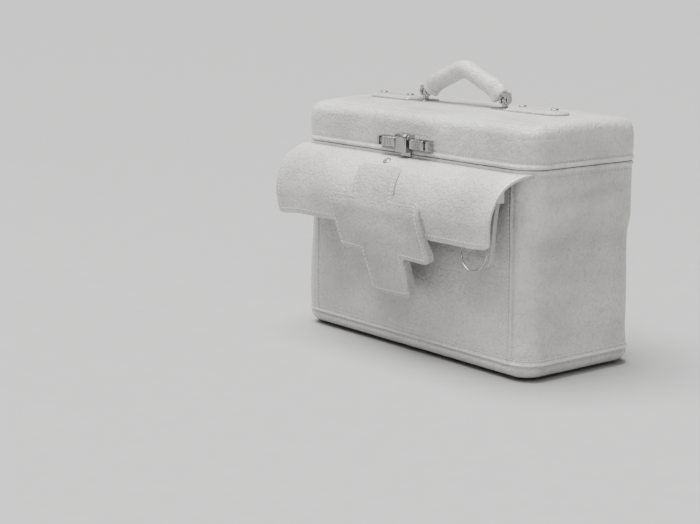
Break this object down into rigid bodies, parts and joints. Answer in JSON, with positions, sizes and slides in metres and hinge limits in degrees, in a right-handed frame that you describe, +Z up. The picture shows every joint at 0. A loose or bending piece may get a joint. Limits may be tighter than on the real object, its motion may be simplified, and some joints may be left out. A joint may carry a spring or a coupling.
{
  "type": "doctor bag",
  "caption": "Rigid rectangular leather doctor bag with a hinged padded lid, arched handle, hanging front flap with a plus-shaped tongue, clasp, hanger strap and key ring.",
  "frame": {"origin": "middle of the footprint, on the flat bottom face of the centre base stud", "axes": "+X along the bag to its right-hand end, -Y out of the front with the flap, +Z up"},
  "size_m": [0.406, 0.2357, 0.3409],
  "materials": {
    "leather": "light grey full-grain leather, fine grain, satin",
    "leather_edge": "burnished leather strip and tabs, satin",
    "handle_leather": "wrapped and stitched leather grip, satin",
    "fabric_lining": "plain woven cotton lining, matt",
    "foam": "open foam padding, matt",
    "board": "pressed fibre board, matt",
    "cord_core": "twisted cotton cord, matt",
    "nickel": "satin nickel plate, lightly worn",
    "steel": "plain rolled steel, satin"
  },
  "bodies": {
    "bag_body": {"base_studs": "nickel", "base_panel": "leather", "base_board": "board", "front_panel": "leather", "back_panel": "leather", "left_gusset": "leather", "right_gusset": "leather", "rim_frame": "steel", "body_lining": "fabric_lining", "front_pocket": "leather", "inner_pocket": "fabric_lining", "flap_welt": "leather_edge", "catch_plate": "nickel", "body_hinge_leaves": "nickel", "hinge_pins": "steel", "body_hinge_rivets": "nickel"},
    "lid": {"lid_shell": "leather", "lid_frame": "steel", "lid_board": "board", "lid_padding": "foam", "lid_lining": "fabric_lining", "lid_hinge_leaves": "nickel", "lid_hinge_rivets": "nickel", "left_handle_bracket": "nickel", "right_handle_bracket": "nickel", "handle_pins": "steel", "left_chape": "leather_edge", "right_chape": "leather_edge", "chape_rivets": "nickel", "clasp_plate": "nickel", "clasp_rivets": "nickel", "hasp_pin": "steel"},
    "handle": {"handle_grip": "handle_leather", "handle_core": "cord_core", "handle_eyes": "nickel"},
    "flap": {"flap": "leather", "flap_tongue": "leather", "flap_stud": "nickel", "strap_fitting": "nickel"},
    "hasp": {"hasp": "nickel"},
    "left_slide": {"left_slide": "nickel"},
    "right_slide": {"right_slide": "nickel"},
    "hanger": {"hanger_strap": "leather_edge", "ring_keeper": "nickel"},
    "key_ring": {"key_ring": "steel"}
  },
  "joints": [
    {"name": "lid_hinge", "type": "hinge", "parent": "bag_body", "child": "lid", "pos_m": [0, 0.0915, 0.235], "axis": [-1, 0, 0], "range_deg": [0, 100]},
    {"name": "handle_pivot", "type": "hinge", "parent": "lid", "child": "handle", "pos_m": [0, 0, 0.298], "axis": [1, 0, 0], "range_deg": [-68, 68]},
    {"name": "flap_hinge", "type": "hinge", "parent": "bag_body", "child": "flap", "pos_m": [0, -0.0908, 0.2295], "axis": [-1, 0, 0], "range_deg": [-5, 40]},
    {"name": "hasp_pivot", "type": "hinge", "parent": "lid", "child": "hasp", "pos_m": [0, -0.0945, 0.255], "axis": [-1, 0, 0], "range_deg": [0, 95]},
    {"name": "left_slide_travel", "type": "slide", "parent": "lid", "child": "left_slide", "axis": [-1, 0, 0], "range_m": [0, 0.0045], "stiffness_N_per_m": 60},
    {"name": "right_slide_travel", "type": "slide", "parent": "lid", "child": "right_slide", "axis": [1, 0, 0], "range_m": [0, 0.0045], "stiffness_N_per_m": 60},
    {"name": "hanger_swing", "type": "hinge", "parent": "flap", "child": "hanger", "pos_m": [0.16, -0.106, 0.204], "axis": [1, 0, 0], "range_deg": [-1, 15]},
    {"name": "ring_swing", "type": "hinge", "parent": "hanger", "child": "key_ring", "pos_m": [0.153, -0.1191, 0.16393], "axis": [1, 0, 0], "range_deg": [-5, 3]}
  ]
}
